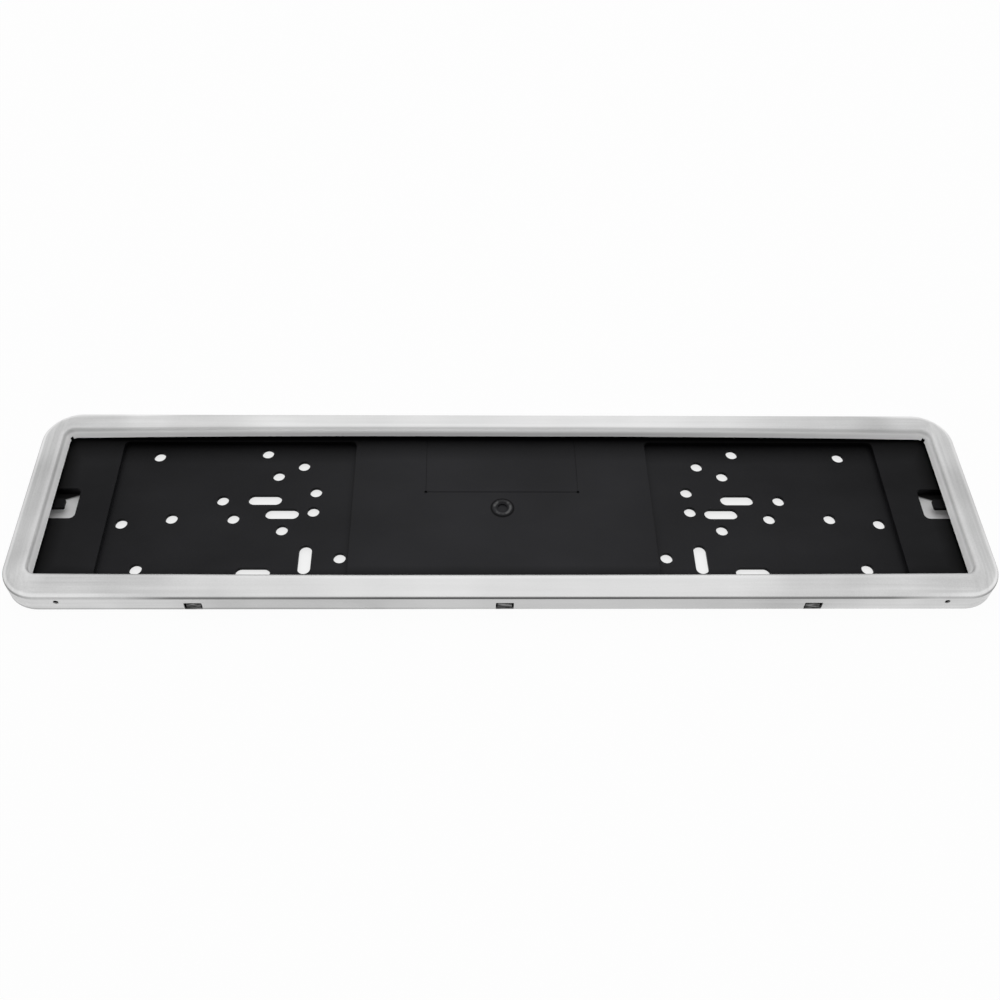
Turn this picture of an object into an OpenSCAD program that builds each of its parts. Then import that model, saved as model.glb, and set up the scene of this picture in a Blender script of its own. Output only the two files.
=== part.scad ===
// Number plate holder: a pressed sheet steel frame snapped over a moulded plastic base.
// Origin in the middle of the footprint, on the plane that the holder is fixed to.

/* [Pressed frame] */
// Overall length
frame_l = 535; // [530:1:560]
// Overall width
frame_w = 130; // [128:1:150]
// Thickness of the sheet
sheet_t = 0.8; // [0.5:0.1:1]
// Height of the skirt up to the outer fold
skirt_h = 11; // [10:0.5:14]
// Width of the sloping face, seen from above
face_w = 13.8; // [11:0.1:15]
// Rise of the face from the outer fold to the ridge
face_rise = 4.3; // [2:0.1:5]
// How far the lip leans inwards below the ridge
lip_run = 1.1; // [1:0.1:2.5]
// Height of the lip below the ridge
lip_drop = 6.4; // [4:0.1:6.8]
// Radius of the outer corners, seen from above
corner_r = 20.5; // [18:0.5:28]
// Radius of the corners of the aperture
aperture_r = 4; // [3:0.5:6]
// Outside radius of the outer fold
fold_r = 1.4; // [1.2:0.1:2]
// Outside radius of the ridge
ridge_r = 3.2; // [1.5:0.1:3.6]
// Width of the relief cut in each corner of the lip
relief_w = 2; // [1:0.5:3]
// Height of the relief cut above the lip's edge
relief_h = 2; // [1:0.5:3]

/* [Snap tabs and side screws] */
// Length of the window that a snap tab is lanced from
window_l = 9.6; // [8:0.1:12]
// Height of a window
window_h = 4.8; // [3.5:0.1:5.5]
// Height of the window's lower edge, where the tab bends
window_z = 1.1; // [0.8:0.1:2]
// Corner radius of a window
window_r = 0.6; // [0.3:0.1:1]
// Distance from the middle window to the outer ones
window_pitch = 165; // [140:1:200]
// Clearance lanced free at each side of a tab
tab_gap = 1; // [0.7:0.1:1.4]
// Height of a tab, the rest of the window stays open above it
tab_h = 2.3; // [2:0.1:3.4]
// How far the tab's free edge leans inwards
tab_reach = 1.2; // [0.8:0.1:1.4]
// Diameter of the side screw holes in the front skirt
side_hole_d = 2.9; // [2.5:0.1:4]
// Distance of a side screw hole from the frame's end
side_hole_inset = 31.4; // [28:0.1:40]
// Height of the side screw holes above the mounting plane
side_hole_z = 7; // [6:0.1:8]

/* [Moulded base] */
// Clearance between the base's rim and the skirt
base_gap = 0.4; // [0.2:0.1:0.8]
// Clearance between the top of the rim and the underside of the face
seat_gap = 0.3; // [0.1:0.1:0.6]
// Thickness of the rim
rim_t = 2; // [1.5:0.1:3]
// Thickness of the moulded floor and of the walls round the hole fields
floor_t = 2; // [1.5:0.1:2.2]
// Height of the raised deck that the plate lies on
deck_z = 5.5; // [5.3:0.1:6.5]
// Depth of the hole fields below the deck
field_depth = 3; // [2:0.1:3]
// Corner radius of the hole fields
field_r = 3; // [2:0.5:4]
// Width of the deck at each end, from the frame's end to the hole field
wing_w = 46.5; // [44:0.5:48]
// Width of the deck along each side, from the frame's edge to the hole field
border_w = 16.6; // [15:0.1:17]
// Length of the middle panel between the two hole fields
panel_l = 170; // [160:1:172]
// Thickness of the stiffening ribs
rib_t = 1.4; // [1:0.1:2]
// Height of the ribs' lower edges above the mounting plane
rib_z = 0.5; // [0.3:0.1:1]
// Distance between the cross ribs under the middle panel
rib_pitch = 28.5; // [20:0.5:40]
// Distance of the long ribs from the middle line
long_rib_y = 28; // [18:1:40]

/* [Catches and bosses] */
// Clearance round a snap tab in its catch pocket
catch_gap = 0.4; // [0.2:0.1:0.5]
// Width of a side screw boss
boss_w = 8; // [6:0.5:12]
// Depth of a side screw boss, measured from the rim's outer face
boss_depth = 6; // [5:0.1:6.5]
// Diameter of the pilot hole in a boss
pilot_d = 2.1; // [1.6:0.1:2.4]
// Depth of the pilot hole
pilot_depth = 4.8; // [3:0.1:4.9]

/* [Fixing holes] */
// Diameter of the round fixing holes
hole_d = 6.8; // [5:0.1:7]
// Width of the fixing slots
slot_w = 7; // [5:0.1:7.2]
// Overall length of the fixing slots
slot_l = 19; // [14:0.5:19]

/* [End fingers] */
// Distance from the frame's end to the free end of a spring finger
finger_end = 20.8; // [19:0.1:22]
// Width of a spring finger
finger_w = 6.4; // [5:0.1:7]
// Distance of the finger's middle line from the holder's middle line
finger_y = 2.2; // [0:0.1:5]
// Width of the slot that runs round a finger
leg_w = 7.4; // [5:0.1:8]
// Distance from the frame's end to the finger's root
root_inset = 9; // [7:0.1:11]
// Radius of the slot's outer corners
leg_r = 3.2; // [1:0.1:4]
// Radius of the finger's corners
finger_r = 1; // [0.5:0.1:2]

/* [Moulding marks] */
// Outer diameter of the raised gate ring in the middle
gate_d = 12.4; // [8:0.2:16]
// Distance of the gate ring from the middle line, towards the front
gate_y = 1; // [0:0.5:3]
// Width of the gate ring at its foot
gate_w = 3; // [2:0.1:3.6]
// Height of the gate ring
gate_h = 0.6; // [0.3:0.1:1]
// Depth of the recess inside the gate ring
gate_depth = 0.9; // [0.4:0.1:1.2]
// Length of the fine seam line on the middle panel
seam_l = 87; // [60:0.5:120]
// Distance of the seam line from the middle line
seam_y = 10.5; // [8:0.5:20]
// Width of the seam lines
seam_w = 0.4; // [0.2:0.1:0.8]
// Depth of the seam lines
seam_d = 0.3; // [0.1:0.1:0.6]
// Diameter of the dimple at each end of the seam line
dimple_d = 1.8; // [1:0.1:3]
// Depth of the dimples
dimple_depth = 1.2; // [0.5:0.1:1.2]

/* [Hidden] */
$fn = 48;
cut = 1;
ledge = 0.2;
corner_steps = 10;
fold_steps = 3;
ridge_steps = 5;
half_l = frame_l / 2;
half_w = frame_w / 2;

// Centres of the round fixing holes in the right half; the left half mirrors them
round_holes = [
    [90, -33.5], [106.5, 12.5], [107, -1.5], [115, 32], [123.5, -14.5], [129, 24.5],
    [137, 41.5], [151.5, -6.5], [159, 6.5], [186, -6.5], [200, 39], [200, -41], [213.5, -10]
];
// Centres of the long slots and the shift of the slots' ends, in the right half
long_slots = [
    [[135, 7], [1, 0]], [[124.5, -3], [1, 0]], [[136.5, -43.5], [1, 0]], [[109, -34.5], [0, 1]]
];

// Section of the frame: distance inwards from the edge, height above the mounting plane
fold_pt = [0, skirt_h];
ridge_pt = [face_w, skirt_h + face_rise];
lip_pt = ridge_pt + [lip_run, -lip_drop];
lip_z = lip_pt.y;

function unit(v) = v / norm(v);
function angle_of(v) = atan2(v.y, v.x);

// Stations round a fold at point b between a and c: each is a point on the outside of the
// sheet and the direction into the sheet, towards the fold's centre
function fold_stations(a, b, c, r, steps) =
    let (
        to_a = unit(a - b),
        to_c = unit(c - b),
        half = acos(to_a * to_c) / 2,
        centre = b + unit(to_a + to_c) * r / sin(half),
        from = angle_of(b + to_a * r / tan(half) - centre),
        turn = -(180 - 2 * half)
    )
    [for (i = [0 : steps])
        let (dir = [cos(from + turn * i / steps), sin(from + turn * i / steps)])
        [centre + r * dir, -dir]];

lip_dir = unit(lip_pt - ridge_pt);
stations = concat(
    [[[0, 0], [1, 0]]],
    fold_stations([0, 0], fold_pt, ridge_pt, fold_r, fold_steps),
    fold_stations(fold_pt, ridge_pt, lip_pt, ridge_r, ridge_steps),
    [[lip_pt, [lip_dir.y, -lip_dir.x]]]
);

// The corners tighten from the outer edge to the aperture, as the press draws them
function corner_at(u) = corner_r - (corner_r - aperture_r) * u / lip_pt.x;

// The closed section as [inwards, height, corner radius]: up the outside, back along the inside
outside = [for (s = stations) [s[0].x, s[0].y, corner_at(s[0].x)]];
inside = [for (i = [len(stations) - 1 : -1 : 0])
    let (s = stations[i], p = s[0] + sheet_t * s[1])
    [p.x, p.y, corner_at(s[0].x) - (p.x - s[0].x)]];
section = concat(outside, inside);

// One section point carried once round the frame
function loop_points(p) = [
    for (quarter = [0 : 3], i = [0 : corner_steps])
        let (
            a = 90 * quarter + 90 * i / corner_steps,
            sx = quarter == 0 || quarter == 3 ? 1 : -1,
            sy = quarter < 2 ? 1 : -1
        )
        [sx * (half_l - p[0] - p[2]) + p[2] * cos(a), sy * (half_w - p[0] - p[2]) + p[2] * sin(a), p[1]]
];

// Underside of the sloping face at a distance inwards from the edge
face_slope = face_rise / face_w;
function face_under(u) = skirt_h + face_slope * u - sheet_t * sqrt(1 + face_slope * face_slope);

// Base
rim_u = sheet_t + base_gap;
rim_z = face_under(rim_u) - seat_gap;
rim_l = frame_l - 2 * rim_u;
rim_w = frame_w - 2 * rim_u;
rim_r = corner_r - rim_u;
field_z = deck_z - field_depth;
field_l = half_l - wing_w - panel_l / 2;
field_w = frame_w - 2 * border_w;
field_x = panel_l / 2 + field_l / 2;
side_hole_x = half_l - side_hole_inset;
tab_l = window_l - 2 * tab_gap;
tab_t = sheet_t / cos(atan(tab_reach / tab_h));
pocket_depth = tab_reach + tab_t + catch_gap - rim_u;
finger_span = finger_w + 2 * leg_w;

module rounded(l, w, r) {
    square([l - 2 * r, w], center = true);
    square([l, w - 2 * r], center = true);
    for (sx = [-1, 1], sy = [-1, 1])
        translate([sx * (l / 2 - r), sy * (w / 2 - r)])
            circle(r = r);
}

module both_ends() {
    children();
    mirror([1, 0, 0]) children();
}

// Slot with round ends, through the floor of a hole field
module slot(dir) {
    translate([0, 0, field_z - floor_t - cut])
        linear_extrude(floor_t + 2 * cut) {
            square([slot_w, slot_w] + dir * (slot_l - 2 * slot_w), center = true);
            for (side = [-1, 1])
                translate(side * dir * (slot_l - slot_w) / 2) circle(d = slot_w);
        }
}

module at_tabs() {
    for (turn = [0, 180], i = [-1 : 1])
        rotate([0, 0, turn])
            translate([i * window_pitch, -half_w, window_z])
                children();
}

module tab_window() {
    translate([0, 0, window_h / 2])
        rotate([90, 0, 0])
            linear_extrude(2 * (sheet_t + cut), center = true)
                rounded(window_l, window_h, window_r);
}

// Snap tab, bent along the window's lower edge so that its free upper edge leans inwards
module snap_tab() {
    translate([-tab_l / 2, 0, 0])
        rotate([90, 0, 90])
            linear_extrude(tab_l)
                polygon([
                    [0, 0], [sheet_t / 2, -sheet_t / 2], [tab_t, 0],
                    [tab_reach + tab_t, tab_h], [tab_reach, tab_h]
                ]);
}

// Pressed frame: skirt, sloping face, ridge and lip in one sheet
module frame_shell() {
    rows = len(section);
    columns = 4 * (corner_steps + 1);
    polyhedron(
        points = [for (p = section) each loop_points(p)],
        faces = [for (row = [0 : rows - 1], col = [0 : columns - 1])
            let (next_row = (row + 1) % rows, next_col = (col + 1) % columns)
            [row * columns + col, next_row * columns + col,
             next_row * columns + next_col, row * columns + next_col]],
        convexity = 6
    );
}

module lip_reliefs() {
    inset = lip_pt.x + aperture_r * (1 - cos(45));
    for (sx = [-1, 1], sy = [-1, 1])
        translate([sx * (half_l - inset), sy * (half_w - inset), lip_z - cut])
            rotate([0, 0, sx * sy * 45])
                translate([0, 0, (relief_h + cut) / 2])
                    cube([2 * (sheet_t + lip_run), relief_w, relief_h + cut], center = true);
}

module frame() {
    color("silver") {
        difference() {
            frame_shell();
            at_tabs() tab_window();
            for (side = [-1, 1])
                translate([side * side_hole_x, -half_w, side_hole_z])
                    rotate([90, 0, 0])
                        cylinder(d = side_hole_d, h = 2 * (sheet_t + cut), center = true);
            lip_reliefs();
        }
        at_tabs() snap_tab();
    }
}

// Rim and deck, hollow below, before the hole fields are let in
module tray() {
    difference() {
        linear_extrude(rim_z) rounded(rim_l, rim_w, rim_r);
        translate([0, 0, deck_z])
            linear_extrude(rim_z)
                rounded(rim_l - 2 * rim_t, rim_w - 2 * rim_t, rim_r - rim_t);
        translate([0, 0, -cut])
            linear_extrude(deck_z - floor_t + cut)
                rounded(rim_l - 2 * rim_t, rim_w - 2 * rim_t, rim_r - rim_t);
    }
}

// Floor and walls of one hole field
module field_box() {
    translate([field_x, 0, field_z - floor_t])
        linear_extrude(field_depth + floor_t - floor_t / 2)
            rounded(field_l + 2 * floor_t, field_w + 2 * floor_t, field_r + floor_t);
}

module field_pocket() {
    translate([field_x, 0, field_z])
        linear_extrude(field_depth + cut)
            rounded(field_l, field_w, field_r);
}

// Ribs below the deck, from the rim to the walls of the hole fields; one closes the space
// behind each finger's slot
module ribs() {
    rib_h = deck_z - floor_t / 2 - rib_z;
    cross_l = rim_w - rim_t;
    long_l = panel_l - floor_t;
    wing_l = wing_w - rim_u - floor_t;
    slot_rib_y = finger_y + finger_span / 2 + ledge + rib_t / 2;
    translate([0, 0, rib_z]) {
        for (i = [-1 : 1])
            translate([i * rib_pitch, 0, rib_h / 2])
                cube([rib_t, cross_l, rib_h], center = true);
        for (side = [-1, 1])
            translate([0, side * long_rib_y, rib_h / 2])
                cube([long_l, rib_t, rib_h], center = true);
        both_ends()
            for (y = [-long_rib_y, slot_rib_y, long_rib_y])
                translate([half_l - rim_u - rim_t / 2 - wing_l / 2, y, rib_h / 2])
                    cube([wing_l, rib_t, rib_h], center = true);
    }
}

// Pocket in the rim's outer face, open below: the snap tab catches under its upper wall
module catch_pocket() {
    translate([-tab_l / 2 - catch_gap, 0, -window_z - cut])
        cube([tab_l + 2 * catch_gap, rim_u + pocket_depth, window_z + cut + tab_h + catch_gap]);
}

module side_boss() {
    boss_z = deck_z - floor_t / 2;
    translate([side_hole_x - boss_w / 2, -rim_w / 2 + rim_t / 2, boss_z])
        cube([boss_w, boss_depth - rim_t / 2, rim_z - boss_z]);
}

module pilot_hole() {
    translate([side_hole_x, -rim_w / 2 + pilot_depth, side_hole_z])
        rotate([90, 0, 0])
            cylinder(d = pilot_d, h = pilot_depth + cut);
}

// U-shaped slot that frees a spring finger rooted at the holder's end
module finger_slot() {
    inner_x = half_l - finger_end - leg_w;
    slot_x = half_l - root_inset;
    translate([0, finger_y, deck_z - floor_t - cut])
        linear_extrude(floor_t + 2 * cut)
            difference() {
                union() {
                    translate([inner_x + leg_r, -finger_span / 2])
                        square([slot_x - inner_x - leg_r, finger_span]);
                    translate([inner_x, -finger_span / 2 + leg_r])
                        square([leg_r, finger_span - 2 * leg_r]);
                    for (side = [-1, 1])
                        translate([inner_x + leg_r, side * (finger_span / 2 - leg_r)])
                            circle(r = leg_r);
                }
                translate([inner_x + leg_w + finger_r, -finger_w / 2])
                    square([finger_end, finger_w]);
                translate([inner_x + leg_w, -finger_w / 2 + finger_r])
                    square([finger_end, finger_w - 2 * finger_r]);
                for (side = [-1, 1])
                    translate([inner_x + leg_w + finger_r, side * (finger_w / 2 - finger_r)])
                        circle(r = finger_r);
            }
}

// Raised ring round the point where the plastic enters the mould
module gate_ring() {
    outer = gate_d / 2;
    flank = gate_w / 3;
    translate([0, -gate_y, deck_z])
        rotate_extrude()
            polygon([
                [outer - gate_w, -floor_t / 2], [outer - gate_w, 0], [outer - gate_w + flank, gate_h],
                [outer - flank, gate_h], [outer, 0], [outer, -floor_t / 2]
            ]);
}

// Recess inside the ring, which keeps the gate's stub below the deck
module gate_recess() {
    translate([0, -gate_y, deck_z - gate_depth])
        cylinder(d = gate_d - 2 * (gate_w + ledge), h = gate_depth + cut);
}

// Fine seam lines of a mould insert, with a dimple at each end
module seam_lines() {
    back_y = half_w - border_w;
    translate([-seam_l / 2, seam_y - seam_w / 2, deck_z - seam_d])
        cube([seam_l, seam_w, seam_d + cut]);
    both_ends() {
        translate([seam_l / 2 - seam_w / 2, seam_y, deck_z - seam_d])
            cube([seam_w, back_y - seam_y, seam_d + cut]);
        translate([seam_l / 2, seam_y, deck_z - dimple_depth])
            cylinder(d = dimple_d, h = dimple_depth + cut);
    }
}

module fixing_holes() {
    for (p = round_holes)
        translate([p.x, p.y, field_z - floor_t - cut])
            cylinder(d = hole_d, h = floor_t + 2 * cut);
    for (s = long_slots)
        translate([s[0].x, s[0].y, 0]) slot(s[1]);
}

module base() {
    color("#262628")
        difference() {
            union() {
                tray();
                both_ends() {
                    field_box();
                    side_boss();
                }
                ribs();
                gate_ring();
            }
            at_tabs() catch_pocket();
            both_ends() {
                field_pocket();
                fixing_holes();
                finger_slot();
                pilot_hole();
            }
            gate_recess();
            seam_lines();
        }
}

frame();
base();
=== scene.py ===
import math

import bmesh
import bpy
from mathutils import Matrix, Vector


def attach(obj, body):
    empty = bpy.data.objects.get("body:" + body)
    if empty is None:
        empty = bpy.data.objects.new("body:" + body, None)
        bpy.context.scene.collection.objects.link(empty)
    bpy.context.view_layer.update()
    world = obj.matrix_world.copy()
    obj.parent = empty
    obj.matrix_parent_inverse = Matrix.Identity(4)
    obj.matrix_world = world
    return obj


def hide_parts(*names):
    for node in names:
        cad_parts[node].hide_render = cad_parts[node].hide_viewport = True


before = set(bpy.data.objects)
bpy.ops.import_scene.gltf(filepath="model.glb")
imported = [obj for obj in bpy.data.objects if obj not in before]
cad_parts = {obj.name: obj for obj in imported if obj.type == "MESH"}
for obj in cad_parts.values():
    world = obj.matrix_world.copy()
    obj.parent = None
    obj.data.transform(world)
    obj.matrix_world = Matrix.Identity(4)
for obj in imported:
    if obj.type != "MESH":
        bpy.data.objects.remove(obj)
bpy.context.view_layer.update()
print("frame loaded:", sorted(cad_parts))

weldDistance = 0.000002       # points nearer than this are one point


# Node trees: a Term is a socket that takes part in plain arithmetic, and a
# Bench adds any other node from its type, its settings and what its sockets get

class Term:
    def __init__(self, bench, socket):
        self.bench = bench
        self.socket = socket

    def math(self, operation, *values):
        feeds = dict(enumerate(values))
        return self.bench.add("ShaderNodeMath", {"operation": operation}, feeds)

    def __add__(self, other):
        return self.math("ADD", self, other)

    def __sub__(self, other):
        return self.math("SUBTRACT", self, other)

    def __mul__(self, other):
        return self.math("MULTIPLY", self, other)

    def __truediv__(self, other):
        return self.math("DIVIDE", self, other)

    def __mod__(self, other):
        return self.math("MODULO", self, other)

    def __pow__(self, other):
        return self.math("POWER", self, other)

    def __rsub__(self, other):
        return self.math("SUBTRACT", other, self)

    def __rtruediv__(self, other):
        return self.math("DIVIDE", other, self)

    def __neg__(self):
        return self.math("MULTIPLY", self, -1)

    def __abs__(self):
        return self.math("ABSOLUTE", self)

    def __gt__(self, other):
        return self.math("GREATER_THAN", self, other)

    __radd__ = __add__
    __rmul__ = __mul__

    def least(self, other):
        return self.math("MINIMUM", self, other)

    def most(self, other):
        return self.math("MAXIMUM", self, other)

    def other(self, name):
        return Term(self.bench, self.socket.node.outputs[name])


class Bench:
    def __init__(self, tree):
        self.tree = tree
        tree.nodes.clear()

    def add(self, kind, settings=None, feeds=None, give=0):
        node = self.tree.nodes.new(kind)
        for name, value in (settings or {}).items():
            setattr(node, name, value)
        for name, value in (feeds or {}).items():
            for item in value if isinstance(value, list) else [value]:
                if isinstance(item, Term):
                    self.tree.links.new(item.socket, node.inputs[name])
                else:
                    node.inputs[name].default_value = item
        return Term(self, node.outputs[give] if len(node.outputs) else None)

    def vector(self, x=0.0, y=0.0, z=0.0):
        return self.add("ShaderNodeCombineXYZ", {}, {"X": x, "Y": y, "Z": z})

    def parts(self, vector):
        x = self.add("ShaderNodeSeparateXYZ", {}, {"Vector": vector})
        return x, x.other("Y"), x.other("Z")

    def noise(self, vector, scale, detail=2.0, rough=0.5, seed=0.0):
        return self.add("ShaderNodeTexNoise", {"noise_dimensions": "4D"}, {
            "Vector": vector, "W": seed, "Scale": scale, "Detail": detail, "Roughness": rough})

    def stretched(self, vector, scale):
        return self.add("ShaderNodeMapping", {}, {"Vector": vector, "Scale": scale})

    def blend(self, factor, first, second):
        settings = {"data_type": "RGBA", "clamp_factor": True}
        return self.add("ShaderNodeMix", settings, {0: factor, 6: first, 7: second}, 2)

    def between(self, value, low, high, fromLow=0.0, fromHigh=1.0):
        return self.add("ShaderNodeMapRange", {"clamp": True}, {
            "Value": value, "From Min": fromLow, "From Max": fromHigh, "To Min": low, "To Max": high})

    def relief(self, height, strength, depth):
        return self.add("ShaderNodeBump", {}, {
            "Strength": strength, "Distance": depth, "Height": height})


def grey(shade):
    return (*shade, 1.0) if isinstance(shade, tuple) else (shade, shade, shade, 1.0)


def weighed(weights, terms):
    total = terms[0] * weights[0]
    for weight, term in zip(weights[1:], terms[1:]):
        total = total + term * weight
    return total


def insideCorners(x, y, halfLength, halfWidth, radius):
    # distance from the edge of a rectangle with round corners, larger towards its middle
    fromX = (abs(x) - (halfLength - radius)).most(0.0)
    fromY = (abs(y) - (halfWidth - radius)).most(0.0)
    return radius - (fromX * fromX + fromY * fromY) ** 0.5


def newMaterial(name):
    material = bpy.data.materials.new(name)
    material.use_nodes = True
    return material, Bench(material.node_tree)


def closeMaterial(bench, shader):
    bench.add("ShaderNodeOutputMaterial", {}, {"Surface": shader})


def newObject(name, content):
    made = bpy.data.objects.new(name, content)
    bpy.context.scene.collection.objects.link(made)
    return made


# Finishes. A name that ends in Span gives the two values between which a mask
# fades, in metres unless it is a span of noise

steelLook = {
    "dark": 0.40,
    "light": 0.82,
    "lipHighlight": 0.97,         # painted light on the lip
    "lipShade": 0.74,          # and painted shade at its lower edge in the middle of the rails
    "tabShadeDark": 0.06,         # painted shade on the tabs in their windows, mottled
    "tabShadeLight": 0.26,
    "shadeLineDark": 0.02,         # the painted lines of shade

    "grainScale": 1400.0,     # matt grain of the rolled sheet
    "streakAcross": 420.0,    # fine marks along the rails
    "streakAlong": 9.0,
    "patchScale": 16.0,       # slow clouding of the sheet
    "tabShadeAcross": 900.0,
    "tabShadeAlong": 180.0,
    "noiseSpan": (0.35, 0.65),
    "tabShadeSpan": (0.4, 0.6),
    "toneWeights": (0.6, 0.25, 0.15),    # of patches, streaks and grain
    "roughWeights": (0.5, 0.3, 0.2),
    "roughLow": 0.54,
    "roughHigh": 0.66,
    "roughLip": 0.85,
    "markWeights": (0.5, 0.5),           # of streaks and grain
    "markStrength": 0.35,
    "markDepth": 0.00003,

    "endSpan": (0.247, 0.257),       # where the long rails' marks give way to the short rails'
    "lipSpan": (0.0136, 0.0142),     # from the outer edge
    "outerSpan": (0.003, 0.004),
    "skirtSpan": (0.0098, 0.0108),   # in height
    "tabHalf": 0.0047,
    "tabSide": 0.062,
    "tabSpan": (0.004, 0.0042),

    "middleHighlight": 0.5,       # painted highlight: the middle of the rails is lighter and less clouded
    "middleHighlightSpan": (0.08, 0.26),
    "middleHighlightLift": 1.3,
    "cloudShare": 0.9,
    "cloudLoss": 1.2,
    "lipShadeSpan": (0.0100, 0.0128),

    "skirtMiddle": -0.24,     # painted shade on the skirt's middle, painted highlight at its ends
    "skirtEnds": 0.22,
    "skirtLightSpan": (0.14, 0.21),
    "foldMiddle": 0.014,      # the fold above it takes a painted highlight at the ends
    "foldHeight": 0.0114,
    "foldHighlight": 0.35,
    "foldSpan": (0.0002, 0.0006),
    "foldEndSpan": (0.2, 0.23),
    "cornerPlace": (-0.256, -0.052),     # the one corner with a painted highlight on its face
    "cornerHighlight": 0.35,
    "cornerSpan": (0.003, 0.015),
    "footShade": 0.6,         # painted shadow at the skirt's foot, darker on the left
    "footSpan": (0.0006, 0.0020),
    "footSideSpan": (-0.12, 0.02),

    "creaseHeight": 0.0103,   # the painted line of shade below the outer fold
    "creaseSpan": (0.000475, 0.00095),
    "creaseDepth": 0.85,      # how much darker it is in the middle
    "creaseSides": 0.68,      # in the outer thirds of the rails
    "creaseFaint": 0.22,      # the share that is left towards the corners
    "creaseCorner": 0.55,     # and what comes back round them
    "creaseSideSpan": (0.06, 0.13),
    "creaseFaintSpan": (0.19, 0.215),
    "creaseCornerSpan": (0.248, 0.260),
    "ridgeAcross": 0.0134,    # the painted line of shade on the ridge's inner shoulder
    "ridgeDepth": 0.22,
    "ridgeFaint": 0.4,        # the share that is left at the right
    "ridgeSpan": (0.0002, 0.0007),
    "ridgeFaintSpan": (0.15, 0.24),
}

plasticLook = {
    "dark": (0.0085, 0.0085, 0.0092),
    "light": (0.0285, 0.0285, 0.0312),
    "paintedShadow": 0.0008,          # painted shadow beside the lips, also painted shade at the gate ring's foot
    "specular": 0.05,

    "textureScale": 2200.0,   # spark-eroded mould texture
    "flowScale": 22.0,        # slow clouding where the plastic flowed
    "flowStretch": (0.6, 1.0, 1.0),
    "noiseSpan": (0.35, 0.65),
    "toneWeights": (0.7, 0.3),       # of flow and texture
    "toneShare": 0.4,
    "roughWeights": (0.6, 0.4),
    "roughLow": 0.34,
    "roughHigh": 0.42,
    "pitStrength": 0.4,
    "pitDepth": 0.00003,

    "middleSheen": 0.6,         # painted sheen: the deck is lighter in the middle, round the gate
    "middleSheenSpan": (0.06, 0.25),
    "gatePlace": -0.001,      # the gate ring: its place across, the radii of its top, with a painted highlight, and of its foot, with painted shade
    "ringTop": 0.0045,
    "ringFoot": 0.0063,
    "ringLight": 0.7,
    "ringDark": 0.85,
    "ringTopSpan": (0.0004, 0.0010),
    "ringFootSpan": (0.0002, 0.0007),
    "ringShine": 0.15,
    "ringScale": 260.0,       # and the patches in which the ring's painted highlight shows
    "ringFaint": 0.1,
    "ringSpan": (0.42, 0.58),

    "lipEnds": 0.2525,        # the lips' inner sides
    "lipSides": 0.0505,
    "lipUpper": 0.6,          # the upper one's painted shadow reaches further out
    "shadowSpan": (-0.001, 0.010),
}


def acrossSheet(x, y, sizes):
    # distance from the outer edge, over corners that tighten and rails that bow as the sweep's do
    reach = sizes["faceWidth"] + sizes["lipRun"]
    tighten = (sizes["cornerRadius"] - sizes["apertureRadius"]) / reach
    turn = sizes["cornerRadius"] + sizes["faceWidth"] * (1 - tighten)
    far = x / (sizes["length"] / 2)
    bow = (0.5 - far * far) * (sizes["bowDepth"] * sizes["faceWidth"] / reach)
    fromX = (abs(x) - (sizes["length"] / 2 - turn)).most(0.0)
    fromY = (abs(y) - bow - (sizes["width"] / 2 - turn)).most(0.0)
    return (sizes["cornerRadius"] - (fromX * fromX + fromY * fromY) ** 0.5) / tighten


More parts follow.
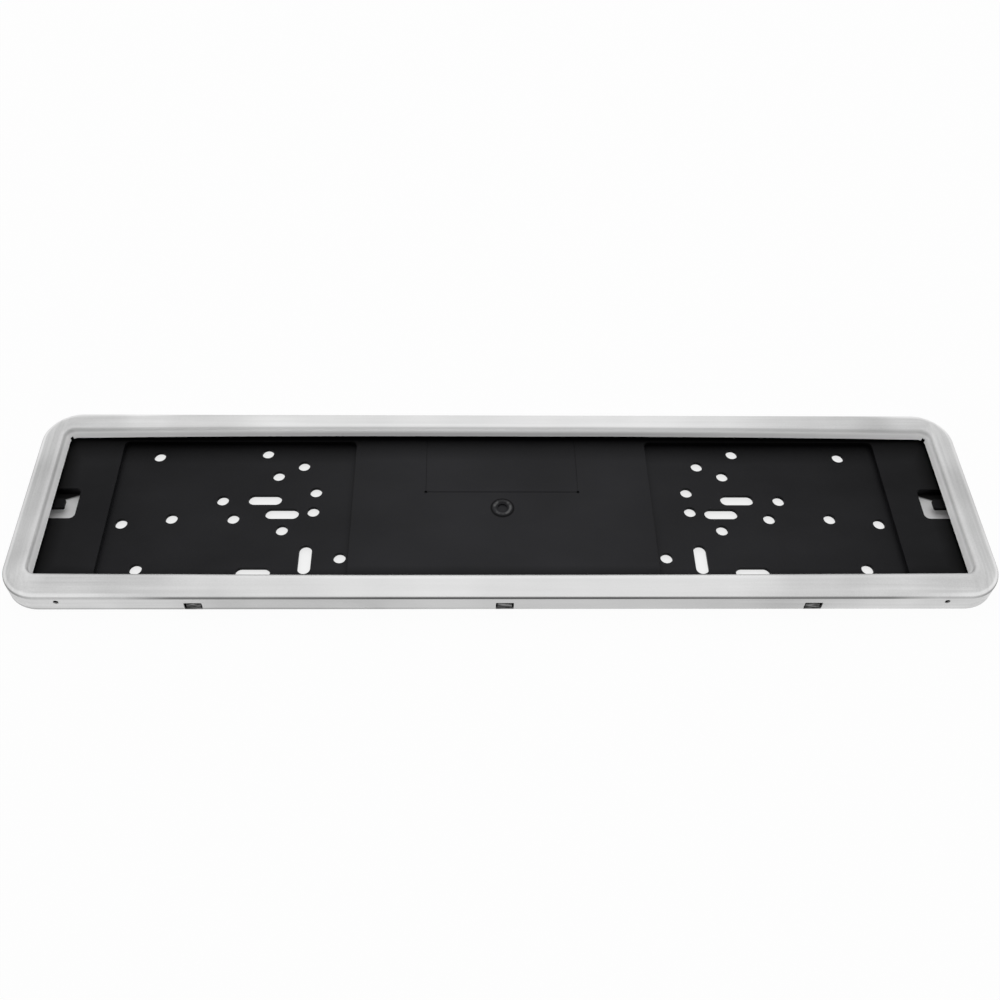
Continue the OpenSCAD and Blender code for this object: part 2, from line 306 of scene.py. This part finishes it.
def steelFinish(look, sizes):
    material, bench = newMaterial("satinSteel")
    place = bench.add("ShaderNodeTexCoord", {}, {}, "Object")
    x, y, z = bench.parts(place)
    along, across = look["streakAlong"], look["streakAcross"]
    longRails = bench.noise(
        bench.stretched(place, (along, across, across)), 1.0, detail=3.0, rough=0.6)
    shortRails = bench.noise(
        bench.stretched(place, (across, along, across)), 1.0, detail=3.0, rough=0.6, seed=4.0)
    atEnds = bench.between(abs(x), 0.0, 1.0, *look["endSpan"])
    streaks = longRails * (1 - atEnds) + shortRails * atEnds
    grain = bench.noise(place, look["grainScale"], rough=0.6, seed=1.0)
    patches = bench.noise(place, look["patchScale"], seed=2.0)
    noises = (patches, streaks, grain)
    clouding = bench.between(weighed(look["toneWeights"], noises), 0.0, 1.0, *look["noiseSpan"])

    # the parts of the sheet
    across = acrossSheet(x, y, sizes)
    lip = bench.between(across, 0.0, 1.0, *look["lipSpan"])
    outer = bench.between(across, 1.0, 0.0, *look["outerSpan"])
    skirt = outer * bench.between(z, 1.0, 0.0, *look["skirtSpan"])
    # painted highlight along the middle of the rails
    paintedMiddleLight = bench.between(abs(x), look["middleHighlight"], 0.0, *look["middleHighlightSpan"])
    pitch = sizes["windowPitch"]
    fromTab = abs((abs(x) + pitch / 2) % pitch - pitch / 2)
    tab = (look["tabHalf"] - fromTab > 0.0) * (abs(y) > look["tabSide"])
    tab = tab * bench.between(z, 1.0, 0.0, *look["tabSpan"])

    # painted highlights and painted shade on the skirt, the fold, one corner and the foot
    skirtPaintedLight = bench.between(abs(x), look["skirtMiddle"], look["skirtEnds"], *look["skirtLightSpan"])
    fromMiddle = abs(x - look["foldMiddle"])
    # painted highlight along the fold near the ends
    foldHighlight = outer * bench.between(
        abs(z - look["foldHeight"]), look["foldHighlight"], 0.0, *look["foldSpan"])
    foldHighlight = foldHighlight * bench.between(fromMiddle, 0.0, 1.0, *look["foldEndSpan"])
    # painted highlight on the front-left corner
    shineX, shineY = x - look["cornerPlace"][0], y - look["cornerPlace"][1]
    fromCorner = (shineX * shineX + shineY * shineY) ** 0.5
    cornerHighlight = bench.between(fromCorner, look["cornerHighlight"], 0.0, *look["cornerSpan"])
    # painted shadow along the skirt's foot
    foot = outer * bench.between(z, look["footShade"], 0.0, *look["footSpan"])
    foot = foot * bench.between(x, 1.0, 0.0, *look["footSideSpan"])
    tone = clouding * (look["cloudShare"] - paintedMiddleLight * look["cloudLoss"]) + paintedMiddleLight * look["middleHighlightLift"]
    tone = tone + skirt * skirtPaintedLight + foldHighlight + cornerHighlight - foot
    sheet = bench.blend(tone, grey(look["dark"]), grey(look["light"]))

    # painted light on the lip with painted shade at its lower edge, and painted shade on the tabs
    lipLowerShade = paintedMiddleLight / look["middleHighlight"] * bench.between(z, 1.0, 0.0, *look["lipShadeSpan"])
    lipPaintedLight = bench.blend(lipLowerShade, grey(look["lipHighlight"]), grey(look["lipShade"]))
    sheet = bench.blend(lip, sheet, lipPaintedLight)
    # mottled painted shade on the tabs
    tabShadePlace = bench.stretched(place, (look["tabShadeAlong"], look["tabShadeAcross"], look["tabShadeAcross"]))
    tabShadeMottle = bench.noise(tabShadePlace, 1.0, detail=1.0, seed=5.0)
    tabShadeMottle = bench.between(tabShadeMottle, 0.0, 1.0, *look["tabShadeSpan"])
    tabShade = bench.blend(tabShadeMottle, grey(look["tabShadeDark"]), grey(look["tabShadeLight"]))
    sheet = bench.blend(tab, sheet, tabShade)

    # painted lines of shade on the fold and on the ridge
    foldShadeLine = bench.between(abs(z - look["creaseHeight"]), 1.0, 0.0, *look["creaseSpan"]) * outer
    foldShadeLine = foldShadeLine * bench.between(
        abs(x), look["creaseDepth"], look["creaseSides"], *look["creaseSideSpan"])
    faint = bench.between(fromMiddle, 1.0, look["creaseFaint"], *look["creaseFaintSpan"])
    foldShadeLine = foldShadeLine * (
        faint + bench.between(abs(x), 0.0, look["creaseCorner"], *look["creaseCornerSpan"]))
    # painted line of shade on the ridge
    ridgeShadeLine = bench.between(
        abs(across - look["ridgeAcross"]), look["ridgeDepth"], 0.0, *look["ridgeSpan"])
    ridgeShadeLine = ridgeShadeLine * bench.between(x, 1.0, look["ridgeFaint"], *look["ridgeFaintSpan"])
    colour = bench.blend(foldShadeLine + ridgeShadeLine, sheet, grey(look["shadeLineDark"]))

    rough = bench.between(
        weighed(look["roughWeights"], noises), look["roughLow"], look["roughHigh"], *look["noiseSpan"])
    rough = rough + lip * (look["roughLip"] - rough)
    marks = weighed(look["markWeights"], (streaks, grain))
    shader = bench.add("ShaderNodeBsdfPrincipled", {}, {
        "Base Color": colour, "Metallic": 1.0, "Roughness": rough,
        "Normal": bench.relief(marks, look["markStrength"], look["markDepth"])})
    closeMaterial(bench, shader)
    return material


def plasticFinish(look):
    material, bench = newMaterial("blackMoulding")
    place = bench.add("ShaderNodeTexCoord", {}, {}, "Object")
    x, y, _ = bench.parts(place)
    texture = bench.noise(place, look["textureScale"], rough=0.6)
    flow = bench.noise(
        bench.stretched(place, look["flowStretch"]), look["flowScale"], detail=3.0, rough=0.55, seed=3.0)
    noises = (flow, texture)
    mottle = bench.between(weighed(look["toneWeights"], noises), 0.0, 1.0, *look["noiseSpan"])
    # painted sheen, lighter in the middle of the deck
    paintedSheen = bench.between(abs(x), look["middleSheen"], 0.0, *look["middleSheenSpan"])

    gateY = y - look["gatePlace"]
    fromGate = (x * x + gateY * gateY) ** 0.5
    # painted highlight on the ring's top and painted shade at its foot
    ringTop = bench.between(
        abs(fromGate - look["ringTop"]), look["ringLight"], 0.0, *look["ringTopSpan"])
    glints = bench.noise(place, look["ringScale"], detail=1.0, seed=7.0)
    ringTop = ringTop * bench.between(glints, look["ringFaint"], 1.0, *look["ringSpan"])
    ringFoot = bench.between(
        abs(fromGate - look["ringFoot"]), look["ringDark"], 0.0, *look["ringFootSpan"])

    # painted shadow on the deck beside the frame's lips
    fromLower, fromUpper = look["lipSides"] + y, look["lipSides"] - y
    fromLips = (look["lipEnds"] - abs(x)).least(fromLower).least(fromUpper * look["lipUpper"])
    outOfShadow = bench.between(fromLips, 0.0, 1.0, *look["shadowSpan"])
    tone = mottle * look["toneShare"] + paintedSheen
    colour = bench.blend(tone, grey(look["dark"]), grey(look["light"]))
    colour = bench.blend(ringTop, colour, grey(look["ringShine"]))
    colour = bench.blend(outOfShadow - ringFoot, grey(look["paintedShadow"]), colour)
    rough = bench.between(
        weighed(look["roughWeights"], noises), look["roughLow"], look["roughHigh"], *look["noiseSpan"])
    shader = bench.add("ShaderNodeBsdfPrincipled", {}, {
        "Base Color": colour, "Roughness": rough, "Specular IOR Level": look["specular"],
        "Normal": bench.relief(texture, look["pitStrength"], look["pitDepth"])})
    closeMaterial(bench, shader)
    return material


blackMoulding = plasticFinish(plasticLook)


# The pressed frame: one sheet section carried round four corners that tighten
# from the outer edge to the aperture, then pierced by windows, holes and reliefs

pressedFrame = {
    "length": 0.535,
    "width": 0.130,
    "sheet": 0.0008,
    "skirtHeight": 0.011,
    "faceWidth": 0.0138,
    "faceRise": 0.0043,
    "lipRun": 0.0011,
    "lipDrop": 0.0064,
    "cornerRadius": 0.0205,
    "apertureRadius": 0.004,
    "foldRadius": 0.0014,
    "ridgeRadius": 0.0032,
    "windowLength": 0.0096,
    "windowHeight": 0.0048,
    "windowFoot": 0.0011,
    "windowRadius": 0.0006,
    "windowPitch": 0.165,
    "tabGap": 0.001,
    "tabHeight": 0.0023,
    "tabReach": 0.0012,
    "tabFoot": 0.6,           # how much of its thickness the tab's foot loses inside the sheet
    "screwHole": 0.0029,
    "screwInset": 0.0314,
    "screwHeight": 0.007,
    "screwSides": 32,
    "reliefWidth": 0.002,
    "reliefHeight": 0.002,
    "bowDepth": 0.0015,       # how far the ridge of the long rails bows outwards
    "waveDepth": 0.0004,      # and how far the rails dip where the press left them uneven
    "waveScale": 9.0,
    "waveLow": 0.3,
    "waveHigh": 0.7,
    "waveRise": 1.5,          # the dips grow towards the lip with this power
    "waveSeed": 3.0,
    "lipSag": 0.0006,         # how much lower the lip's edge hangs than the even drop
    "lipSagEnds": 0.0014,     # and what is added to that towards the ends
    "sectionStep": 0.00035,
    "foldSteps": 8,
    "cornerSteps": 18,
    "railSteps": 40,
    "sharpAngle": math.radians(35),
}


def openTree(name, sizes):
    tree = bpy.data.node_groups.new(name, "GeometryNodeTree")
    for key, value in sizes.items():
        kind = "NodeSocketInt" if isinstance(value, int) else "NodeSocketFloat"
        tree.interface.new_socket(name=key, in_out="INPUT", socket_type=kind)
    tree.interface.new_socket(name="finish", in_out="INPUT", socket_type="NodeSocketMaterial")
    tree.interface.new_socket(name="Geometry", in_out="OUTPUT", socket_type="NodeSocketGeometry")
    bench = Bench(tree)
    sizeIn = bench.add("NodeGroupInput")
    return tree, bench, sizeIn.other


def sheetSection(bench, size):
    # outer line of the sheet: x runs inwards from the edge, z is the height
    ridgeHeight = size("skirtHeight") + size("faceRise")
    line = bench.add("GeometryNodeCurvePrimitiveQuadrilateral", {"mode": "POINTS"}, {
        "Point 1": bench.vector(),
        "Point 2": bench.vector(0.0, 0.0, size("skirtHeight")),
        "Point 3": bench.vector(size("faceWidth"), 0.0, ridgeHeight),
        "Point 4": bench.vector(size("faceWidth") + size("lipRun"), 0.0, ridgeHeight - size("lipDrop"))})
    line = bench.add("GeometryNodeSetSplineCyclic", {}, {"Geometry": line, "Cyclic": False})
    index = bench.add("GeometryNodeInputIndex")
    atFold, atRidge = (index.math("COMPARE", index, corner, 0.1) for corner in (1.0, 2.0))
    radius = atFold * size("foldRadius") + atRidge * size("ridgeRadius")
    line = bench.add("GeometryNodeFilletCurve", {"mode": "POLY"}, {
        "Curve": line, "Count": size("foldSteps"), "Radius": radius})
    return bench.add("GeometryNodeResampleCurve", {"mode": "LENGTH"}, {
        "Curve": line, "Length": size("sectionStep")})


def sweptShell(bench, size):
    section = sheetSection(bench, size)
    points = bench.add(
        "GeometryNodeAttributeDomainSize", {"component": "CURVE"}, {"Geometry": section}, "Point Count")
    around = 2 * points               # out along the outer line, back along the inner one
    perCorner = size("cornerSteps") + size("railSteps")
    columns = 4 * perCorner
    grid = bench.add("GeometryNodeMeshGrid", {}, {
        "Size X": 1.0, "Size Y": 1.0, "Vertices X": columns + 1, "Vertices Y": around + 1})
    index = bench.add("GeometryNodeInputIndex")
    rows = around + 1
    column = index.math("FLOOR", (index + 0.5) / rows)
    row = index - column * rows
    row = row * (row.math("LESS_THAN", row, around - 0.5))
    inner = row > (points - 0.5)
    station = row.least(around - 1 - row)
    taken = {"data_type": "FLOAT_VECTOR", "domain": "POINT"}
    spot = bench.add("GeometryNodeSampleIndex", taken, {
        "Geometry": section, "Value": bench.add("GeometryNodeInputPosition"), "Index": station})
    heading = bench.add("GeometryNodeSampleIndex", taken, {
        "Geometry": section, "Value": bench.add("GeometryNodeInputTangent"), "Index": station})
    outerU, _, outerZ = bench.parts(spot)
    headingU, _, headingZ = bench.parts(heading)
    u = outerU + inner * size("sheet") * headingZ
    z = outerZ - inner * size("sheet") * headingU
    reach = size("faceWidth") + size("lipRun")
    tighten = size("cornerRadius") - size("apertureRadius")
    radius = size("cornerRadius") - tighten * outerU / reach - (u - outerU)

    # each column belongs to a quarter: first its corner's steps, then its rail's
    quarter = column.math("FLOOR", column / perCorner + 0.0001)
    step = column - quarter * perCorner
    turned = (step / size("cornerSteps")).least(1.0)
    railed = ((step - size("cornerSteps")) / size("railSteps")).most(0.0)
    angle = (quarter + turned) * (math.pi / 2)
    halfLength, halfWidth = size("length") / 2, size("width") / 2
    sides = []
    for wave, half in (("COSINE", halfLength), ("SINE", halfWidth)):
        here = angle.math("SIGN", angle.math(wave, (quarter + 0.5) * (math.pi / 2)))
        after = angle.math("SIGN", angle.math(wave, (quarter + 1.5) * (math.pi / 2)))
        corner = here + (after - here) * railed
        sides.append(corner * (half - u - radius) + radius * angle.math(wave, angle))
    x, y = sides

    # the unevenness of one pressing: dips, the lip's sag and the rails' bow
    uneven = bench.noise(
        bench.vector(x, y, 0.0), size("waveScale"), detail=1.0, seed=size("waveSeed"))
    uneven = bench.between(uneven, 0.0, 1.0, size("waveLow"), size("waveHigh"))
    dip = size("waveDepth") * uneven * (outerU / reach) ** size("waveRise")
    far = (x / halfLength) * (x / halfLength)
    onLip = bench.between(outerU, 0.0, 1.0, size("faceWidth"), reach)
    sag = onLip * (size("lipSag") + far * size("lipSagEnds"))
    bow = size("bowDepth") * (0.5 - far)
    y = y * (1 + bow * outerU / reach / halfWidth)
    shell = bench.add("GeometryNodeSetPosition", {}, {
        "Geometry": grid, "Position": bench.vector(x, y, z - dip - sag)})
    return welded(bench, shell)


def welded(bench, shape):
    return bench.add("GeometryNodeMergeByDistance", {}, {"Geometry": shape, "Distance": weldDistance})


def onPoints(bench, shape, count, start, offset, turn=None):
    points = bench.add("GeometryNodeMeshLine", {}, {
        "Count": count, "Start Location": start, "Offset": offset})
    feeds = {"Points": points, "Instance": shape}
    if turn:
        feeds["Rotation"] = turn
    return bench.add("GeometryNodeInstanceOnPoints", {}, feeds)


def together(bench, shapes):
    joined = bench.add("GeometryNodeJoinGeometry", {}, {"Geometry": shapes})
    return bench.add("GeometryNodeRealizeInstances", {}, {"Geometry": joined})


def snapTabs(bench, size):
    # each tab is a small block: its foot narrows inside the sheet, its top leans inwards
    height, foot = size("tabHeight"), size("sheet") / 2
    block = bench.add("GeometryNodeMeshCube", {}, {"Size": bench.vector(
        size("windowLength") - 2 * size("tabGap"), size("sheet"), height + foot)})
    _, y, z = bench.parts(bench.add("GeometryNodeInputPosition"))
    atTop = z > 0.0
    shift = foot + atTop * size("tabReach") - (1 - atTop) * y * size("tabFoot")
    block = bench.add("GeometryNodeSetPosition", {}, {
        "Geometry": block, "Offset": bench.vector(0.0, shift, (height - foot) / 2)})
    rows = []
    for side in (-1, 1):
        start = bench.vector(-size("windowPitch"), side * size("width") / 2, size("windowFoot"))
        turn = (0.0, 0.0, math.pi * (side > 0))
        rows.append(onPoints(bench, block, 3, start, bench.vector(size("windowPitch")), turn))
    return together(bench, rows)


def pierced(bench, size):
    depth = 5 * size("sheet")         # right through the sheet
    upright = (math.pi / 2, 0.0, 0.0)
    halfWidth, halfLength = size("width") / 2, size("length") / 2

    outline = bench.add("GeometryNodeCurvePrimitiveQuadrilateral", {"mode": "RECTANGLE"}, {
        "Width": size("windowLength"), "Height": size("windowHeight")})
    outline = bench.add("GeometryNodeFilletCurve", {"mode": "POLY"}, {
        "Curve": outline, "Count": size("foldSteps"), "Radius": size("windowRadius")})
    sheet = bench.add("GeometryNodeFillCurve", {"mode": "NGONS"}, {"Curve": outline})
    block = bench.add("GeometryNodeExtrudeMesh", {"mode": "FACES"}, {
        "Mesh": sheet, "Offset": (0.0, 0.0, 1.0), "Offset Scale": depth, "Individual": False})
    foot = bench.add("GeometryNodeFlipFaces", {}, {"Mesh": sheet})
    block = bench.add("GeometryNodeJoinGeometry", {}, {"Geometry": [block, foot]})
    window = bench.add("GeometryNodeTransform", {}, {
        "Geometry": welded(bench, block), "Translation": bench.vector(0.0, depth / 2, 0.0),
        "Rotation": upright})

    drill = bench.add("GeometryNodeMeshCylinder", {}, {
        "Vertices": size("screwSides"), "Radius": size("screwHole") / 2, "Depth": depth})
    drill = bench.add("GeometryNodeTransform", {}, {"Geometry": drill, "Rotation": upright})

    tooth = bench.add("GeometryNodeMeshCube", {}, {"Size": bench.vector(
        2 * (size("sheet") + size("lipRun")), size("reliefWidth"), 2 * size("reliefHeight"))})

    cuts = []
    windowHeight = size("windowFoot") + size("windowHeight") / 2
    inset = size("faceWidth") + size("lipRun") + size("apertureRadius") * (1 - math.cos(math.pi / 4))
    toothSide = halfWidth - inset - size("bowDepth") / 2
    lipHeight = size("skirtHeight") + size("faceRise") - size("lipDrop")
    lipHeight = lipHeight - size("lipSag") - size("lipSagEnds")
    for side in (-1, 1):
        start = bench.vector(-size("windowPitch"), side * halfWidth, windowHeight)
        cuts.append(onPoints(bench, window, 3, start, bench.vector(size("windowPitch"))))
        start = bench.vector(inset - halfLength, side * toothSide, lipHeight)
        ends = bench.add("GeometryNodeInputIndex") * 2 - 1
        turn = bench.vector(0.0, 0.0, ends * (side * math.pi / 4))
        cuts.append(onPoints(bench, tooth, 2, start, bench.vector(size("length") - 2 * inset), turn))
    screwX = halfLength - size("screwInset")
    start = bench.vector(-screwX, -halfWidth, size("screwHeight"))
    cuts.append(onPoints(bench, drill, 2, start, bench.vector(2 * screwX)))
    return together(bench, cuts)


def frameTree(sizes):
    tree, bench, size = openTree("pressedFrame", sizes)
    shell = sweptShell(bench, size)
    cut = bench.add("GeometryNodeMeshBoolean", {"operation": "DIFFERENCE", "solver": "EXACT"}, {
        "Mesh 1": shell, "Mesh 2": pierced(bench, size)})
    sheet = bench.add("GeometryNodeMeshBoolean", {"operation": "UNION", "solver": "EXACT"}, {
        "Mesh 2": [cut, snapTabs(bench, size)]})
    smooth = bench.add("GeometryNodeSetShadeSmooth", {"domain": "FACE"}, {
        "Geometry": sheet, "Shade Smooth": True})
    sharp = bench.add("GeometryNodeInputMeshEdgeAngle") > size("sharpAngle")
    smooth = bench.add("GeometryNodeSetShadeSmooth", {"domain": "EDGE"}, {
        "Geometry": smooth, "Selection": sharp, "Shade Smooth": False})
    whole = bench.add("GeometryNodeRealizeInstances", {}, {"Geometry": smooth})
    whole = bench.add("GeometryNodeSetMaterial", {}, {"Geometry": whole, "Material": size("finish")})
    bench.add("NodeGroupOutput", {}, {"Geometry": whole})
    return tree


def grow(name, tree, sizes, finish):
    piece = newObject(name, bpy.data.meshes.new(name))
    modifier = piece.modifiers.new("tree", "NODES")
    modifier.node_group = tree
    values = {**sizes, "finish": finish}
    for socket in tree.interface.items_tree:
        if socket.in_out == "INPUT":
            modifier[socket.identifier] = values[socket.name]
    return settle(piece)


def settle(piece):
    # the modifiers' result becomes the piece's own plain mesh
    view = bpy.context.evaluated_depsgraph_get()
    finished = bpy.data.meshes.new_from_object(piece.evaluated_get(view))
    piece.modifiers.clear()
    piece.data = finished
    finished.name = piece.name
    return piece


satinSteel = steelFinish(steelLook, pressedFrame)
print("finishes made")

steelFrame = grow("pressedFrame", frameTree(pressedFrame), pressedFrame, satinSteel)
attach(steelFrame, "root")
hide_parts("frame")
print("pressed frame:", len(steelFrame.data.polygons), "faces")


# The moulded base: the solid's own shape, with the moulding's edges broken

mouldedBase = {
    "edgeRadius": 0.00012,
    "edgeSegments": 2,
    "edgeAngle": math.radians(32),
    "crispMiddle": 0.060,     # the seam and the gate ring keep the mould's crisp edges
    "crispEnds": 0.262,       # and so does the rim
    "crispSides": 0.0605,
    "upwards": 0.99,          # a face looks up if its normal's height is above this
    "flatAngle": math.radians(0.5),
    "flatFacing": 0.9999,     # faces square to an axis stay flat, the rest are shaded smooth
}


def wearsOff(edge, sizes):
    # outer edges of the faces that look up: deck, fields and holes
    x, y, _ = (edge.verts[0].co + edge.verts[1].co) / 2
    if abs(x) < sizes["crispMiddle"] or abs(x) > sizes["crispEnds"] or abs(y) > sizes["crispSides"]:
        return False
    looksUp = any(face.normal.z > sizes["upwards"] for face in edge.link_faces)
    return looksUp and edge.is_convex and edge.calc_face_angle(0.0) > sizes["edgeAngle"]


def brokenEdges(node, name, sizes, finish):
    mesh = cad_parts[node].data.copy()
    mesh.name = name
    work = bmesh.new()
    work.from_mesh(mesh)
    bmesh.ops.remove_doubles(work, verts=work.verts, dist=weldDistance)
    bmesh.ops.dissolve_limit(
        work, angle_limit=sizes["flatAngle"], verts=work.verts, edges=work.edges)
    work.normal_update()
    weight = work.edges.layers.float.new("bevel_weight_edge")
    for edge in work.edges:
        edge[weight] = float(wearsOff(edge, sizes))
    work.to_mesh(mesh)
    work.free()
    mesh.materials.clear()
    mesh.materials.append(finish)
    piece = newObject(name, mesh)
    bevel = piece.modifiers.new("edges", "BEVEL")
    bevel.width = sizes["edgeRadius"]
    bevel.segments = sizes["edgeSegments"]
    bevel.limit_method = "WEIGHT"
    bevel.use_clamp_overlap = False
    settle(piece)
    for face in piece.data.polygons:
        face.use_smooth = max(abs(value) for value in face.normal) < sizes["flatFacing"]
    return piece


base = brokenEdges("base", "mouldedBase", mouldedBase, blackMoulding)
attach(base, "root")
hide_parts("base")
print("moulded base:", len(base.data.polygons), "faces")


# Studio: a white floor, a bright dome and one broad lamp behind and above

studio = {
    "floorSize": 6.0,
    "floorDrop": 0.0003,
    "floorColour": 0.85,
    "floorWhite": 0.96,       # share of plain white that the camera sees on the open floor
    "floorHidden": 0.73,      # painted light: the floor below the hole fields glows this much white
    "floorDark": 0.02,        # and below the hollow ends
    "outlineSpan": (0.0003, 0.0012),     # inwards from the holder's outline
    "fieldSpan": (0.222, 0.23),          # the fields' ends and sides
    "fieldSideSpan": (0.050, 0.052),
    "floorShade": 0.02,       # painted shadow on the paper in the corner behind each finger
    "shadePlace": (0.2393, 0.0097),      # the corner's slanting side and its run each way
    "shadeRun": (0.0074, 0.0031),
    "shadeMiddle": 0.0115,    # its middle across, half its width and how sharply it ends
    "shadeHalf": 0.0045,
    "shadeSteep": 2000.0,
    "shadeSpan": (0.8, 1.3),
    "shadeEnd": 0.262,
    "domeDim": 0.1,
    "domeBright": 1.15,
    "domeElevation": 42.0,    # the dome is brightest behind the holder, at this height
    "domeSpan": (-0.1, 0.9),
    "keyPower": 1.2,
    "keySize": 0.9,
    "keyDistance": 1.2,
    "keyElevation": 52.0,
    "keyAzimuth": 0.0,
}

photoView = {
    "place": (-0.022396, -0.386218, 0.503859),
    "yaw": 0.03097,
    "pitch": 0.90416,
    "roll": 0.02535,
    "sensor": 36.0,
    "lens": 40.10,
    "shiftX": 0.01583,
    "shiftY": -0.00143,
}


def whiteForEyes(bench):
    # 1 where the camera, metal or glass looks, 0 for light that falls on things
    path = bench.add("ShaderNodeLightPath")
    seen = path.other("Is Camera Ray") + path.other("Is Glossy Ray") + path.other("Is Transmission Ray")
    return seen.least(1.0)


def layFloor(sizes, holder):
    half = sizes["floorSize"] / 2
    level = -sizes["floorDrop"]
    corners = [(-half, -half, level), (half, -half, level), (half, half, level), (-half, half, level)]
    mesh = bpy.data.meshes.new("floor")
    mesh.from_pydata(corners, [], [(0, 1, 2, 3)])
    material, bench = newMaterial("floorPaper")
    x, y, _ = bench.parts(bench.add("ShaderNodeTexCoord", {}, {}, "Object"))

    # painted shadow in the corners behind the spring fingers
    (placeX, placeY), (runX, runY) = sizes["shadePlace"], sizes["shadeRun"]
    slant = (abs(x) - placeX) / runX + (y - placeY) / runY
    sides = (sizes["shadeHalf"] - abs(y - sizes["shadeMiddle"])) * sizes["shadeSteep"]
    shade = bench.between(slant.least(sides), 0.0, 1.0, *sizes["shadeSpan"])
    shade = shade * (sizes["shadeEnd"] - abs(x) > 0.0)
    colour = bench.blend(shade, grey(sizes["floorColour"]), grey(sizes["floorShade"]))

    # the white that the camera sees: all round the holder, and less through its holes, where it is
    # painted light on the floor below
    inside = insideCorners(x, y, holder["length"] / 2, holder["width"] / 2, holder["cornerRadius"])
    outside = bench.between(inside, 1.0, 0.0, *sizes["outlineSpan"])
    # painted light below the hole fields
    below = bench.between(abs(x), sizes["floorHidden"], sizes["floorDark"], *sizes["fieldSpan"])
    below = below * bench.between(abs(y), 1.0, 0.0, *sizes["fieldSideSpan"])
    share = (1 - shade) * (below + (sizes["floorWhite"] - below) * outside)
    share = whiteForEyes(bench) * share
    paper = bench.add("ShaderNodeBsdfDiffuse", {}, {"Color": colour})
    white = bench.add("ShaderNodeEmission", {}, {"Color": grey(1.0), "Strength": 1.0})
    closeMaterial(bench, bench.add("ShaderNodeMixShader", {}, {0: share, 1: paper, 2: white}))
    mesh.materials.append(material)
    floor = newObject("floor", mesh)


def raiseDome(sizes):
    world = bpy.data.worlds.new("dome")
    world.use_nodes = True
    bpy.context.scene.world = world
    bench = Bench(world.node_tree)
    _, y, z = bench.parts(bench.add("ShaderNodeTexCoord", {}, {}, "Generated"))
    rise = math.radians(sizes["domeElevation"])
    towards = bench.between(y * math.cos(rise) + z * math.sin(rise), 0.0, 1.0, *sizes["domeSpan"])
    dim, bright, white = (
        bench.add("ShaderNodeBackground", {}, {"Color": grey(1.0), "Strength": strength})
        for strength in (sizes["domeDim"], sizes["domeBright"], 1.0))
    light = bench.add("ShaderNodeMixShader", {}, {0: towards, 1: dim, 2: bright})
    both = bench.add("ShaderNodeMixShader", {}, {0: whiteForEyes(bench), 1: light, 2: white})
    bench.add("ShaderNodeOutputWorld", {}, {"Surface": both})


def hangLamp(sizes):
    turn, rise = math.radians(sizes["keyAzimuth"]), math.radians(sizes["keyElevation"])
    way = Vector((math.sin(turn) * math.cos(rise), math.cos(turn) * math.cos(rise), math.sin(rise)))
    lamp = bpy.data.lights.new("keyLamp", "AREA")
    lamp.shape = "DISK"
    lamp.size = sizes["keySize"]
    lamp.energy = sizes["keyPower"]
    holder = newObject("keyLamp", lamp)
    holder.location = way * sizes["keyDistance"]
    holder.rotation_euler = way.to_track_quat("Z", "Y").to_euler()


def placeCamera(view):
    yaw, pitch = view["yaw"], view["pitch"]
    ahead = Vector((math.sin(yaw) * math.cos(pitch), math.cos(yaw) * math.cos(pitch), -math.sin(pitch)))
    right = Vector((math.cos(yaw), -math.sin(yaw), 0.0))
    up = right.cross(ahead)
    tilt = Matrix.Rotation(view["roll"], 3, -ahead)
    axes = Matrix((tilt @ right, tilt @ up, -ahead)).transposed()
    camera = bpy.data.cameras.new("photoCamera")
    camera.lens = view["lens"]
    camera.sensor_width = view["sensor"]
    camera.shift_x = view["shiftX"]
    camera.shift_y = view["shiftY"]
    holder = newObject("photoCamera", camera)
    holder.matrix_world = Matrix.Translation(view["place"]) @ axes.to_4x4()
    bpy.context.scene.camera = holder


layFloor(studio, pressedFrame)
raiseDome(studio)
hangLamp(studio)
placeCamera(photoView)
bpy.context.scene.view_settings.view_transform = "Standard"
print("studio ready")
